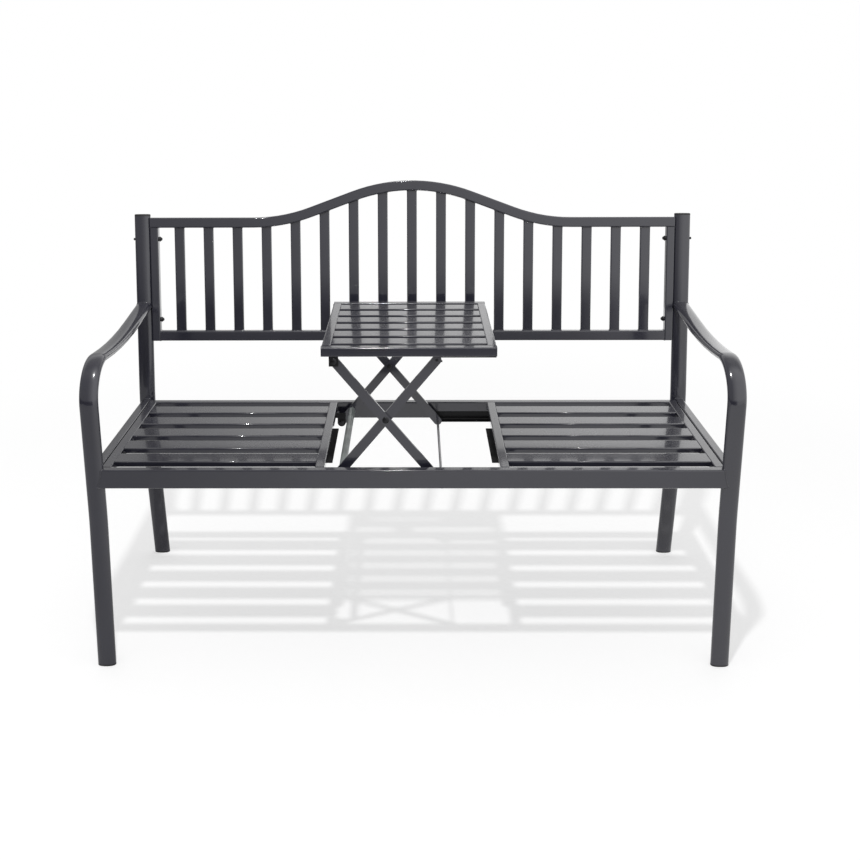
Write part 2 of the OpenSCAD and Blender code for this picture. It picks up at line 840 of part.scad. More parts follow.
// Plate behind the table's front rail whose edge rides on the pin of a lift arm. A lip under
// the pin holds the raised table down.
module slot_plate() {
  x0 = slide_x - slot_h;
  x1 = table_x + table_w / 2;
  top = hinge_drop - table_tube;
  color(black) translate([0, plate_y + bracket_t, hinge_z]) rotate([90, 0, 0])
    linear_extrude(bracket_t) difference() {
      union() {
        translate([x0, 0]) square([x1 - x0, top]);
        translate([x0, 0]) square([x1 - table_tube - x0, top + plate_lap]);
        translate([x0, -slot_h]) square([slot_h + catch_l, 2 * slot_h]);
      }
      translate([slide_x, -slot_h / 2]) square([x1 - slide_x + 1, slot_h]);
      translate([slide_x, 0]) circle(d = slot_h);
    }
}

at_left() arm_leg();  // left_arm_leg
arm_leg();  // right_arm_leg
at_left() back_post();  // left_back_post
back_post();  // right_back_post
at_left() stretcher();  // left_stretcher
stretcher();  // right_stretcher
seat_rail(rail_y, panel_x);  // front_seat_rail
seat_rail(rear_rail_y, outer_rail_x + side_rail_w / 2);  // rear_seat_rail
at_left() outer_seat_rail();  // left_outer_seat_rail
at_left() inner_seat_rail();  // left_inner_seat_rail
inner_seat_rail();  // right_inner_seat_rail
outer_seat_rail();  // right_outer_seat_rail
at_left() seat_slats();  // left_seat_slats
seat_slats();  // right_seat_slats
back_top_rail();
back_bottom_rail();
at_left() back_upright();  // back_left_upright
back_upright();  // back_right_upright
back_slats(-back_slat_side_n, -centre_slat_n - 1);  // back_slats_left
back_slats(-centre_slat_n, centre_slat_n);  // back_slats_centre
back_slats(centre_slat_n + 1, back_slat_side_n);  // back_slats_right
front_foot_caps();
rear_foot_caps();
post_caps();
back_bolts();
back_nuts();
seat_bolts();
seat_nuts();
seat_spacers();
at_left() table_ledge();  // left_table_ledge
table_ledge();  // right_table_ledge
slide_channel();  // front_slide_channel
at_rear() slide_channel();  // rear_slide_channel
pivot_bracket();  // front_pivot_bracket
at_rear() pivot_bracket();  // rear_pivot_bracket
lower_pivot_pins();
lift_arm();  // front_lift_arm
at_rear() lift_arm();  // rear_lift_arm
lift_cross_tube();
slide_pins();
slide_arm();  // front_slide_arm
at_rear() slide_arm();  // rear_slide_arm
slide_rod();
centre_pins();
centre_nuts();
centre_washers();
table_cross_rail(table_y);  // table_front_rail
table_cross_rail(table_y + table_d - table_tube);  // table_rear_rail
table_side_rail(-1);  // table_left_rail
table_side_rail(1);  // table_right_rail
table_slats();
hinge_bracket();  // front_hinge_bracket
at_rear() hinge_bracket();  // rear_hinge_bracket
table_hinge_pins();
slot_plate();  // front_slot_plate
at_rear() slot_plate();  // rear_slot_plate
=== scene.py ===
# The garden bench with its rising centre table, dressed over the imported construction.
# Sections follow the bench as it is put together. Metres, front towards -Y, ground at Z = 0.
import math

import bmesh
import bpy
from mathutils import Matrix, Vector


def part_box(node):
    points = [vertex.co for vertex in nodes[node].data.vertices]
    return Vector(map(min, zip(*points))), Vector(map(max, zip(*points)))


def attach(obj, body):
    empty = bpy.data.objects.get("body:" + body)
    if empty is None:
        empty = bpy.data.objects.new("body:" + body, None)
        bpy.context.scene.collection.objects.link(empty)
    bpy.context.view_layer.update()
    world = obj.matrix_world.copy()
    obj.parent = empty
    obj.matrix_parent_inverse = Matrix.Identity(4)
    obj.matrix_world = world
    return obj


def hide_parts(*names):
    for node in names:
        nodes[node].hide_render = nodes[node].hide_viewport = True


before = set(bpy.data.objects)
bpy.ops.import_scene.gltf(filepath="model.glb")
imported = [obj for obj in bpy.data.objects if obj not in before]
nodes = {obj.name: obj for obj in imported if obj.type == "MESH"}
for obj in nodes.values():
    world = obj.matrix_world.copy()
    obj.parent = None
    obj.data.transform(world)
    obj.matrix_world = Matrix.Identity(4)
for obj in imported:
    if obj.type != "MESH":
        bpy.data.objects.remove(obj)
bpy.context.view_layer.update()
scene = bpy.context.scene


# Side frames: leg and arm bent from one flat-oval steel tube, rear leg and post from another,
# joined by a stretcher. Mild steel, welded, then powder coated charcoal as one piece.


def node(tree, kind, inputs=(), **settings):
    """Puts one node in a tree, sets its properties, and fills or links its inputs."""
    made = tree.nodes.new(kind)
    for name, value in settings.items():
        setattr(made, name, value)
    for socket, value in dict(inputs).items():
        if isinstance(value, bpy.types.NodeSocket):
            tree.links.new(value, made.inputs[socket])
        else:
            made.inputs[socket].default_value = value
    return made


def open_sockets(tree, direction, sockets):
    """Adds named inputs or outputs to a tree: (name, type, value)."""
    for name, kind, value in sockets:
        made = tree.interface.new_socket(name, in_out=direction, socket_type=kind)
        if value is not None:
            made.default_value = value


def noise(tree, place, size, detail=1.0, roughness=0.5):
    """Noise with features of about that size in metres, as a value round 0.5."""
    return node(tree, "ShaderNodeTexNoise",
                {"Vector": place, "Scale": 1 / size, "Detail": detail, "Roughness": roughness}
                ).outputs["Fac"]


def math_node(tree, operation, a, b, c=None):
    inputs = {0: a, 1: b} if c is None else {0: a, 1: b, 2: c}
    return node(tree, "ShaderNodeMath", inputs, operation=operation).outputs[0]


def ranged(tree, value, low, high, to_low=0.0, to_high=1.0, **settings):
    """Maps a value from one range to another, and holds it at the ends."""
    return node(tree, "ShaderNodeMapRange",
                {"Value": value, "From Min": low, "From Max": high, "To Min": to_low,
                 "To Max": to_high}, **settings).outputs["Result"]


def spread(tree, value, low, high):
    """Spreads a noise value, which stays near the middle, to the range from low to high."""
    return ranged(tree, value, 0.3, 0.7, low, high)


# Baked or sprayed coats share this surface: orange peel, the slight wave of thin tube walls
# under it, clouds in the tone, and on faces that look up a pale beige that is partly dust
# and partly painted sheen, lightening the tops as the light falling on them would.
coat_surface = bpy.data.node_groups.new("coat_surface", "ShaderNodeTree")
open_sockets(coat_surface, "INPUT", [
    ("Colour", "NodeSocketColor", (0.05, 0.05, 0.055, 1)), ("Roughness", "NodeSocketFloat", 0.15),
    ("Peel Depth", "NodeSocketFloat", 4e-6), ("Wave Depth", "NodeSocketFloat", 3e-5),
    ("Clouds", "NodeSocketFloat", 0.06), ("Dust And Sheen", "NodeSocketFloat", 0.05)])
open_sockets(coat_surface, "OUTPUT", [
    ("Colour", "NodeSocketColor", None), ("Roughness", "NodeSocketFloat", None),
    ("Height", "NodeSocketFloat", None)])
given = coat_surface.nodes.new("NodeGroupInput").outputs
place = node(coat_surface, "ShaderNodeTexCoord")
peel = noise(coat_surface, place.outputs["Object"], 0.0022, 0.0)
wave = noise(coat_surface, place.outputs["Object"], 0.05, 1.0)
cloud = noise(coat_surface, place.outputs["Object"], 0.16, 3.0, 0.6)
speck = noise(coat_surface, place.outputs["Object"], 0.0035, 4.0, 0.7)
dust_sheen_patches = noise(coat_surface, place.outputs["Object"], 0.09, 4.0, 0.65)
look = node(coat_surface, "ShaderNodeSeparateXYZ", {0: place.outputs["Normal"]}).outputs["Z"]
# Painted sheen with dust: faces that look up get a patchy pale beige, partly real dust, partly
# standing in for the light on the tops.
facing_up = ranged(coat_surface, look, 0.55, 0.98)
dust_and_sheen = math_node(coat_surface, "MULTIPLY", facing_up, spread(coat_surface, dust_sheen_patches, 0.25, 1.0))
dust_and_sheen = math_node(coat_surface, "MULTIPLY", dust_and_sheen, spread(coat_surface, speck, 0.5, 1.3))
dust_and_sheen = math_node(coat_surface, "MULTIPLY", dust_and_sheen, given["Dust And Sheen"])
tone = math_node(coat_surface, "MULTIPLY_ADD", spread(coat_surface, cloud, -1.0, 1.0),
                 given["Clouds"], 1.0)
toned = node(coat_surface, "ShaderNodeVectorMath", {0: given["Colour"], "Scale": tone},
             operation="SCALE").outputs[0]
# The pale beige of the dust and of the painted top sheen.
dust_and_sheen_colour = node(coat_surface, "ShaderNodeMix",
              {"Factor": dust_and_sheen, 6: toned, 7: (0.34, 0.33, 0.31, 1)}, data_type="RGBA").outputs[2]
rough = math_node(coat_surface, "MULTIPLY_ADD", spread(coat_surface, cloud, -0.03, 0.03), 1.0,
                  given["Roughness"])
rough = math_node(coat_surface, "MULTIPLY_ADD", dust_and_sheen, 0.9, rough)
peel_height = math_node(coat_surface, "MULTIPLY", peel, given["Peel Depth"])
height = math_node(coat_surface, "MULTIPLY_ADD", wave, given["Wave Depth"], peel_height)
node(coat_surface, "NodeGroupOutput", {"Colour": dust_and_sheen_colour, "Roughness": rough, "Height": height})


def coat(name, colour, roughness, peel_depth, wave_depth, clouds, dust_and_sheen, **shader):
    """A painted, coated or moulded finish on the shared coat surface."""
    made = bpy.data.materials.new(name)
    made.use_nodes = True
    tree = made.node_tree
    surface = node(tree, "ShaderNodeGroup", node_tree=coat_surface)
    for socket, value in (("Colour", (*colour, 1)), ("Roughness", roughness),
                          ("Peel Depth", peel_depth), ("Wave Depth", wave_depth),
                          ("Clouds", clouds), ("Dust And Sheen", dust_and_sheen)):
        surface.inputs[socket].default_value = value
    relief = node(tree, "ShaderNodeBump",
                  {"Strength": 1.0, "Distance": 1.0, "Height": surface.outputs["Height"]})
    body = tree.nodes["Principled BSDF"]
    for socket, value in shader.items():
        body.inputs[socket.replace("_", " ")].default_value = value
    tree.links.new(surface.outputs["Colour"], body.inputs["Base Color"])
    tree.links.new(surface.outputs["Roughness"], body.inputs["Roughness"])
    tree.links.new(relief.outputs["Normal"], body.inputs["Normal"])
    return made


def finish_in(material, *names):
    """Gives pieces of the construction, whose shape stays, their finish."""
    for name in names:
        for held in nodes[name].material_slots:
            held.material = material


# The charcoal's dust amount, 0.11, also paints a pale sheen onto its up-facing faces.
charcoal = coat("charcoal_powder_coat", (0.0225, 0.0225, 0.034), 0.20, 5e-6, 3e-5, 0.10, 0.11,
                Specular_IOR_Level=0.3, Coat_Weight=1.0, Coat_Roughness=0.08, Coat_IOR=1.5)
finish_in(charcoal, "left_stretcher", "right_stretcher")

bent_tube = bpy.data.node_groups.new("bent_tube", "GeometryNodeTree")
open_sockets(bent_tube, "INPUT", [
    ("Path", "NodeSocketGeometry", None), ("Width", "NodeSocketFloat", 0.04),
    ("Depth", "NodeSocketFloat", 0.02), ("Fullness", "NodeSocketFloat", 2.3),
    ("Steps Round", "NodeSocketInt", 48), ("Material", "NodeSocketMaterial", None)])
open_sockets(bent_tube, "OUTPUT", [("Tube", "NodeSocketGeometry", None)])
given = bent_tube.nodes.new("NodeGroupInput").outputs
ring = node(bent_tube, "GeometryNodeCurvePrimitiveCircle",
            {"Resolution": given["Steps Round"], "Radius": 1.0})
at = node(bent_tube, "ShaderNodeSeparateXYZ",
          {0: node(bent_tube, "GeometryNodeInputPosition").outputs[0]}).outputs
power = math_node(bent_tube, "DIVIDE", 2.0, given["Fullness"])
oval = []
for axis, size in (("X", "Width"), ("Y", "Depth")):
    away = node(bent_tube, "ShaderNodeMath", {0: at[axis]}, operation="ABSOLUTE").outputs[0]
    way = node(bent_tube, "ShaderNodeMath", {0: at[axis]}, operation="SIGN").outputs[0]
    full = math_node(bent_tube, "MULTIPLY", math_node(bent_tube, "POWER", away, power), way)
    half = math_node(bent_tube, "MULTIPLY", given[size], 0.5)
    oval.append(math_node(bent_tube, "MULTIPLY", full, half))
placed = node(bent_tube, "ShaderNodeCombineXYZ", {"X": oval[0], "Y": oval[1]}).outputs[0]
section = node(bent_tube, "GeometryNodeSetPosition", {"Geometry": ring.outputs[0],
                                                      "Position": placed})
route = node(bent_tube, "GeometryNodeMeshToCurve", {"Mesh": given["Path"]})
level = node(bent_tube, "GeometryNodeSetCurveNormal",
             {"Curve": route.outputs[0], "Normal": (1.0, 0.0, 0.0)}, mode="FREE")
swept = node(bent_tube, "GeometryNodeCurveToMesh",
             {"Curve": level.outputs[0], "Profile Curve": section.outputs[0], "Fill Caps": True})
smooth = node(bent_tube, "GeometryNodeSetShadeSmooth", {"Geometry": swept.outputs[0]})
real = node(bent_tube, "GeometryNodeRealizeInstances", {0: smooth.outputs[0]})
painted = node(bent_tube, "GeometryNodeSetMaterial",
               {"Geometry": real.outputs[0], "Material": given["Material"]})
node(bent_tube, "NodeGroupOutput", {"Tube": painted.outputs[0]})


def grown(name, tree, body, slot, replaced=(), seed_mesh=None, flat=False, cuts=(), **inputs):
    """Runs a tree once and keeps what it makes as a plain mesh that rides on a body.

    Each cut is a point and a direction, and takes away all that lies beyond the point."""
    piece = bpy.data.objects.new(name, seed_mesh or bpy.data.meshes.new(name))
    scene.collection.objects.link(piece)
    growth = piece.modifiers.new("growth", "NODES")
    growth.node_group = tree
    named = {item.name: item.identifier for item in tree.interface.items_tree
             if item.item_type == "SOCKET" and item.in_out == "INPUT"}
    for wanted, value in inputs.items():
        growth[named[wanted.replace("_", " ")]] = value
    if flat:
        piece.modifiers.new("flat_faces", "WEIGHTED_NORMAL")
    bpy.context.view_layer.update()
    depsgraph = bpy.context.evaluated_depsgraph_get()
    mesh = bpy.data.meshes.new_from_object(piece.evaluated_get(depsgraph),
                                           preserve_all_data_layers=True, depsgraph=depsgraph)
    piece.modifiers.clear()
    if cuts:
        shape = bmesh.new()
        shape.from_mesh(mesh)
        for where, beyond in cuts:
            every = shape.verts[:] + shape.edges[:] + shape.faces[:]
            cut = bmesh.ops.bisect_plane(shape, geom=every, plane_co=where, plane_no=beyond,
                                         clear_outer=True)["geom_cut"]
            open_edges = [part for part in cut if isinstance(part, bmesh.types.BMEdge)]
            bmesh.ops.edgenet_fill(shape, edges=open_edges)
        bmesh.ops.recalc_face_normals(shape, faces=shape.faces[:])
        shape.to_mesh(mesh)
        shape.free()
        mesh.set_sharp_from_angle(angle=math.radians(40))
    piece.data = mesh
    mesh.name = name
    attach(piece, body)
    if replaced:
        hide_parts(*replaced)
    return piece


def bent_line(start, lean, runs, arc_step=math.radians(2.5)):
    """Points of a line in the YZ plane that starts upwards, leaning back by an angle.

    A run is (length,) or (radius, turn), where a positive turn bends it backwards."""
    points = [Vector(start)]
    for run in runs:
        if len(run) == 1:
            points.append(points[-1] + Vector((0, math.sin(lean), math.cos(lean))) * run[0])
            continue
        radius, turn = run[0], math.radians(run[1])
        side = math.copysign(radius, turn)
        centre = points[-1] + Vector((0, math.cos(lean), -math.sin(lean))) * side
        count = math.ceil(abs(turn) / arc_step)
        for step in range(1, count + 1):
            now = lean + turn * step / count
            points.append(centre - Vector((0, math.cos(now), -math.sin(now))) * side)
        lean += turn
    return points


def line_mesh(name, points):
    mesh = bpy.data.meshes.new(name)
    mesh.from_pydata([tuple(p) for p in points], [(i, i + 1) for i in range(len(points) - 1)], [])
    return mesh


side_x, tube_w, tube_t, fullness = 0.680, 0.040, 0.020, 2.3
front_foot_y, rear_foot_y, foot_t = -0.261382, 0.279795, 0.004
back_lean, rear_splay = math.radians(5.2), math.radians(11.5)
in_back = Matrix.Translation((0, 0.204097, 0.499)) @ Matrix.Rotation(-back_lean, 4, "X")
arm_let_in, post_l, post_spare = 0.0085, 0.432781, 0.040
leg_runs = [(0.316,), (0.6, -4), (0.243158,), (0.08, 100), (0.006,), (1.3, -12),
            (0.137338 + arm_let_in,)]
post_runs = [(0.331658 + post_spare,), (0.6, 16.7), (post_l,)]
below = Vector((0, math.sin(rear_splay), -math.cos(rear_splay))) * post_spare
# The dressed tubes, under the names of the nodes that they replace. Welds are laid on them.
solid = {}
for side, name in ((-1, "left"), (1, "right")):
    column = Vector((side * side_x, 0, 0))
    leg_path = bent_line(column + Vector((0, front_foot_y, foot_t)), 0.0, leg_runs)
    post_path = bent_line(column + Vector((0, rear_foot_y, 0)) + below, -rear_splay, post_runs)
    solid[f"{name}_arm_leg"] = grown(
        f"{name}_leg_and_arm", bent_tube, "frame", "powder_coat", [f"{name}_arm_leg"],
        seed_mesh=line_mesh("leg_path", leg_path), cuts=[(leg_path[0], (0, 0, -1))],
        Width=tube_w, Depth=tube_t, Fullness=fullness, Steps_Round=64, Material=charcoal)
    solid[f"{name}_back_post"] = grown(
        f"{name}_leg_and_post", bent_tube, "frame", "powder_coat", [f"{name}_back_post"],
        seed_mesh=line_mesh("post_path", post_path), cuts=[(Vector((0, 0, foot_t)), (0, 0, -1))],
        Width=tube_w, Depth=tube_t, Fullness=fullness, Steps_Round=64, Material=charcoal)


# Caps: black plastic plugs pushed into the open ends of the tubes, as feet under the legs and
# as covers over the posts. Moulded with a fine matt grain.

moulded_black = coat("moulded_black", (0.014, 0.014, 0.015), 0.46, 9e-6, 0.0, 0.05, 0.02, IOR=1.46)


def oval(width, depth, count=48):
    """Outline of the side frames' tube, or of what fits it."""
    ring = []
    for step in range(count):
        turn = 2 * math.pi * step / count
        ring.append(tuple(size / 2 * math.copysign(abs(part) ** (2 / fullness), part)
                          for size, part in ((width, math.cos(turn)), (depth, math.sin(turn)))))
    return ring


def capped(name, node_name, seats, depth, rings):
    """Plugs lofted through rings (height, inset), each on its own seat at a tube's end."""
    shape = bmesh.new()
    for seat in seats:
        loops = [[shape.verts.new(seat @ Vector((x, y, height)))
                  for x, y in oval(tube_w - 2 * inset, depth - 2 * inset)]
                 for height, inset in rings]
        for low, high in zip(loops, loops[1:]):
            for i in range(len(low)):
                j = (i + 1) % len(low)
                shape.faces.new((low[i], low[j], high[j], high[i]))
        shape.faces.new(loops[0][::-1])
        shape.faces.new(loops[-1])
    bmesh.ops.recalc_face_normals(shape, faces=shape.faces[:])
    for face in shape.faces:
        face.smooth = True
    mesh = bpy.data.meshes.new(name)
    shape.to_mesh(mesh)
    shape.free()
    mesh.set_sharp_from_angle(angle=math.radians(40))
    mesh.materials.append(moulded_black)
    piece = bpy.data.objects.new(name, mesh)
    scene.collection.objects.link(piece)
    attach(piece, "frame")
    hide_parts(node_name)


cap_t = 0.004
sides = [Matrix.Translation((side * side_x, 0, 0)) for side in (-1, 1)]
foot_rings = [(0.0, 0.0012), (0.0012, 0.0), (foot_t, 0.0), (foot_t, 0.002), (0.016, 0.002)]
capped("post_cap_plugs", "post_caps",
       [side @ in_back @ Matrix.Translation((0, 0, post_l)) for side in sides], tube_t,
       [(-0.012, 0.002), (0.0, 0.002), (0.0, 0.0), (cap_t * 0.6, 0.0), (cap_t * 0.85, 0.0006),
        (cap_t, 0.002)])
capped("front_foot_plugs", "front_foot_caps",
       [side @ Matrix.Translation((0, front_foot_y, 0)) for side in sides], tube_t, foot_rings)
lean_back = Matrix.Shear("XY", 4, (0.0, -math.tan(rear_splay)))
capped("rear_foot_plugs", "rear_foot_caps",
       [side @ Matrix.Translation((0, rear_foot_y, 0)) @ lean_back for side in sides],
       tube_t / math.cos(rear_splay), foot_rings)


# Seat frame: front and rear rails with four side rails between them, square steel tube,
# welded and coated with the rest.

finish_in(charcoal, "rear_seat_rail", "left_outer_seat_rail", "left_inner_seat_rail",
          "right_inner_seat_rail", "right_outer_seat_rail")


# Seat slats: five flat tubes on each side, let in between the side rails so that their tops
# are flush, and welded at both ends.

slat_tube = bpy.data.node_groups.new("slat_tube", "GeometryNodeTree")
open_sockets(slat_tube, "INPUT", [
    ("Length", "NodeSocketFloat", 1.0), ("Width", "NodeSocketFloat", 0.05),
    ("Thickness", "NodeSocketFloat", 0.012), ("Corner Radius", "NodeSocketFloat", 0.002)])
open_sockets(slat_tube, "OUTPUT", [("Slat", "NodeSocketGeometry", None)])
given = slat_tube.nodes.new("NodeGroupInput").outputs
section = node(slat_tube, "GeometryNodeCurvePrimitiveQuadrilateral",
               {"Width": given["Width"], "Height": given["Thickness"]})
rounded = node(slat_tube, "GeometryNodeFilletCurve",
               {"Curve": section.outputs[0], "Count": 4, "Radius": given["Corner Radius"]},
               mode="POLY")
far_end = node(slat_tube, "ShaderNodeCombineXYZ", {"Z": given["Length"]})
line = node(slat_tube, "GeometryNodeCurvePrimitiveLine", {"End": far_end.outputs[0]})
drawn = node(slat_tube, "GeometryNodeCurveToMesh",
             {"Curve": line.outputs[0], "Profile Curve": rounded.outputs[0], "Fill Caps": True})
smooth = node(slat_tube, "GeometryNodeSetShadeSmooth", {"Geometry": drawn.outputs[0]})
node(slat_tube, "NodeGroupOutput", {"Slat": smooth.outputs[0]})

slat_row = bpy.data.node_groups.new("slat_row", "GeometryNodeTree")
open_sockets(slat_row, "INPUT", [
    ("Count", "NodeSocketInt", 5), ("First", "NodeSocketVector", None),
    ("Step", "NodeSocketVector", None), ("Turn", "NodeSocketVector", None),
    ("Length", "NodeSocketFloat", 0.4), ("Width", "NodeSocketFloat", 0.05),
    ("Thickness", "NodeSocketFloat", 0.012), ("Corner Radius", "NodeSocketFloat", 0.002),
    ("Material", "NodeSocketMaterial", None)])
open_sockets(slat_row, "OUTPUT", [("Slats", "NodeSocketGeometry", None)])
given = slat_row.nodes.new("NodeGroupInput").outputs
one_slat = node(slat_row, "GeometryNodeGroup",
                {name: given[name] for name in ("Length", "Width", "Thickness", "Corner Radius")},
                node_tree=slat_tube)
seats = node(slat_row, "GeometryNodeMeshLine",
             {"Count": given["Count"], "Start Location": given["First"], "Offset": given["Step"]})
turned = node(slat_row, "FunctionNodeEulerToRotation", {0: given["Turn"]})
laid = node(slat_row, "GeometryNodeInstanceOnPoints",
            {"Points": seats.outputs[0], "Instance": one_slat.outputs[0],
             "Rotation": turned.outputs[0]})
real = node(slat_row, "GeometryNodeRealizeInstances", {0: laid.outputs[0]})
painted = node(slat_row, "GeometryNodeSetMaterial",
               {"Geometry": real.outputs[0], "Material": given["Material"]})
node(slat_row, "NodeGroupOutput", {"Slats": painted.outputs[0]})


seat_slat_w, seat_slat_t, slat_corner = 0.050, 0.013, 0.003
lay_along_x = (math.pi / 2, 0.0, math.pi / 2)


def slat_stations(low, high, count, width):
    """The first slat's middle and the step between neighbours, across a box from low to high."""
    return low.y + width / 2, (high.y - low.y - width) / (count - 1)


for side in ("left", "right"):
    low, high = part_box(f"{side}_seat_slats")
    first_y, step_y = slat_stations(low, high, 5, seat_slat_w)
    grown(f"{side}_seat_slat_row", slat_row, "frame", "powder_coat", [f"{side}_seat_slats"],
          flat=True, Count=5, First=(low.x, first_y, high.z - seat_slat_t / 2),
          Step=(0.0, step_y, 0.0), Turn=lay_along_x, Length=high.x - low.x, Width=seat_slat_w,
          Thickness=seat_slat_t, Corner_Radius=slat_corner, Material=charcoal)

# The front rail runs on into the legs, because they are oval and the rail's end is square.
low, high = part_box("front_seat_rail")
rail_reach, rail_corner = 0.672, 0.003
solid["front_seat_rail"] = grown(
    "front_rail_tube", slat_row, "frame", "powder_coat", ["front_seat_rail"], flat=True, Count=1,
    First=(-rail_reach, (low.y + high.y) / 2, (low.z + high.z) / 2), Turn=lay_along_x,
    Length=2 * rail_reach, Width=high.y - low.y, Thickness=high.z - low.z,
    Corner_Radius=rail_corner, Material=charcoal)


# Back panel: an arched top rail, a straight bottom rail and two uprights, and between them
# 17 flat slats. Each slat runs up the lean of the back until it meets the arched rail.

finish_in(charcoal, "back_top_rail", "back_bottom_rail", "back_left_upright",
          "back_right_upright")

arched_slats = bpy.data.node_groups.new("arched_slats", "GeometryNodeTree")
open_sockets(arched_slats, "INPUT", [
    ("Count", "NodeSocketInt", 17), ("First", "NodeSocketVector", None),
    ("Step", "NodeSocketVector", None), ("Lean", "NodeSocketFloat", 0.09),
    ("Width", "NodeSocketFloat", 0.025), ("Thickness", "NodeSocketFloat", 0.01),
    ("Corner Radius", "NodeSocketFloat", 0.002), ("Let In", "NodeSocketFloat", 0.006),
    ("Arched Rail", "NodeSocketObject", None), ("Material", "NodeSocketMaterial", None)])
open_sockets(arched_slats, "OUTPUT", [("Slats", "NodeSocketGeometry", None)])
given = arched_slats.nodes.new("NodeGroupInput").outputs
one_slat = node(arched_slats, "GeometryNodeGroup",
                {"Length": 1.0, "Width": given["Width"], "Thickness": given["Thickness"],
                 "Corner Radius": given["Corner Radius"]}, node_tree=slat_tube)
feet = node(arched_slats, "GeometryNodeMeshLine",
            {"Count": given["Count"], "Start Location": given["First"], "Offset": given["Step"]})
arched_rail = node(arched_slats, "GeometryNodeObjectInfo", {"Object": given["Arched Rail"]},
                   transform_space="ORIGINAL")
sine = node(arched_slats, "ShaderNodeMath", {0: given["Lean"]}, operation="SINE").outputs[0]
cosine = node(arched_slats, "ShaderNodeMath", {0: given["Lean"]}, operation="COSINE").outputs[0]
up_the_back = node(arched_slats, "ShaderNodeCombineXYZ", {"Y": sine, "Z": cosine}).outputs[0]
meeting = node(arched_slats, "GeometryNodeRaycast",
               {"Target Geometry": arched_rail.outputs["Geometry"],
                "Ray Direction": up_the_back, "Ray Length": 1.0})
reach = math_node(arched_slats, "ADD", meeting.outputs["Hit Distance"], given["Let In"])
stretch = node(arched_slats, "ShaderNodeCombineXYZ", {"X": 1.0, "Y": 1.0, "Z": reach}).outputs[0]
tip_back = math_node(arched_slats, "MULTIPLY", given["Lean"], -1.0)
tip = node(arched_slats, "ShaderNodeCombineXYZ", {"X": tip_back}).outputs[0]
turned = node(arched_slats, "FunctionNodeEulerToRotation", {0: tip})
stood = node(arched_slats, "GeometryNodeInstanceOnPoints",
             {"Points": feet.outputs[0], "Instance": one_slat.outputs[0],
              "Rotation": turned.outputs[0], "Scale": stretch})
real = node(arched_slats, "GeometryNodeRealizeInstances", {0: stood.outputs[0]})
painted = node(arched_slats, "GeometryNodeSetMaterial",
               {"Geometry": real.outputs[0], "Material": given["Material"]})
node(arched_slats, "NodeGroupOutput", {"Slats": painted.outputs[0]})

bottom_rail_top, bottom_rail_h, back_slat_pitch = 0.139471, 0.025, 0.0734
back_slat_w, back_slat_t, back_slat_corner = 0.025, 0.010, 0.0025
grown("back_slat_row", arched_slats, "frame", "powder_coat",
      ["back_slats_left", "back_slats_centre", "back_slats_right"], flat=True, Count=17,
      First=in_back @ Vector((-8 * back_slat_pitch, 0, bottom_rail_top - 0.001)),
      Step=(back_slat_pitch, 0.0, 0.0), Lean=back_lean, Width=back_slat_w,
      Thickness=back_slat_t, Corner_Radius=back_slat_corner, Let_In=0.006,
      Arched_Rail=nodes["back_top_rail"], Material=charcoal)


# Table: a frame of four square steel tubes with six flat slats, welded and coated like the
# seats. It rides on the lift.

finish_in(charcoal, "table_front_rail", "table_rear_rail", "table_left_rail",
          "table_right_rail")
table_slat_w, table_slat_t, table_slat_room = 0.046, 0.010, 0.050
low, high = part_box("table_slats")
first_y, step_y = slat_stations(low, high, 6, table_slat_room)
grown("table_slat_row", slat_row, "table", "powder_coat", ["table_slats"], flat=True, Count=6,
      First=(low.x, first_y, high.z - table_slat_t / 2), Step=(0.0, step_y, 0.0),
      Turn=lay_along_x, Length=high.x - low.x, Width=table_slat_w, Thickness=table_slat_t,
      Corner_Radius=slat_corner, Material=charcoal)


# Welds: a small fillet bead runs round every joint before the coat goes on. It is left off
# where two tops are flush, because those are ground flat, and under the table's corners, where
# the lift folds in.

weld_bead = bpy.data.node_groups.new("weld_bead", "GeometryNodeTree")
open_sockets(weld_bead, "INPUT", [
    ("Seams", "NodeSocketGeometry", None), ("Bead Radius", "NodeSocketFloat", 0.0016),
    ("Ripple Pitch", "NodeSocketFloat", 0.0012), ("Ripple Depth", "NodeSocketFloat", 0.16),
    ("Seed", "NodeSocketInt", 3), ("Material", "NodeSocketMaterial", None)])
open_sockets(weld_bead, "OUTPUT", [("Beads", "NodeSocketGeometry", None)])
given = weld_bead.nodes.new("NodeGroupInput").outputs
seams = node(weld_bead, "GeometryNodeMeshToCurve", {"Mesh": given["Seams"]})
stepped = node(weld_bead, "GeometryNodeResampleCurve",
               {"Curve": seams.outputs[0], "Length": given["Ripple Pitch"]}, mode="LENGTH")
count = node(weld_bead, "GeometryNodeInputIndex").outputs[0]
third = node(weld_bead, "ShaderNodeMath", {0: count, 1: 3.0}, operation="MODULO").outputs[0]
ripple = node(weld_bead, "ShaderNodeMath", {0: third, 1: 0.5}, operation="MULTIPLY").outputs[0]
chance = node(weld_bead, "FunctionNodeRandomValue",
              {2: -0.3, 3: 0.3, "Seed": given["Seed"]}, data_type="FLOAT")
uneven = math_node(weld_bead, "ADD", ripple, chance.outputs[1])
swell = math_node(weld_bead, "MULTIPLY_ADD", uneven, given["Ripple Depth"], 0.85)
dab = node(weld_bead, "GeometryNodeCurvePrimitiveCircle",
           {"Resolution": 8, "Radius": given["Bead Radius"]})
laid = node(weld_bead, "GeometryNodeCurveToMesh",
            {"Curve": stepped.outputs[0], "Profile Curve": dab.outputs[0], "Scale": swell,
             "Fill Caps": True})
smooth = node(weld_bead, "GeometryNodeSetShadeSmooth", {"Geometry": laid.outputs[0]})
real = node(weld_bead, "GeometryNodeRealizeInstances", {0: smooth.outputs[0]})
painted = node(weld_bead, "GeometryNodeSetMaterial",
               {"Geometry": real.outputs[0], "Material": given["Material"]})
node(weld_bead, "NodeGroupOutput", {"Beads": painted.outputs[0]})


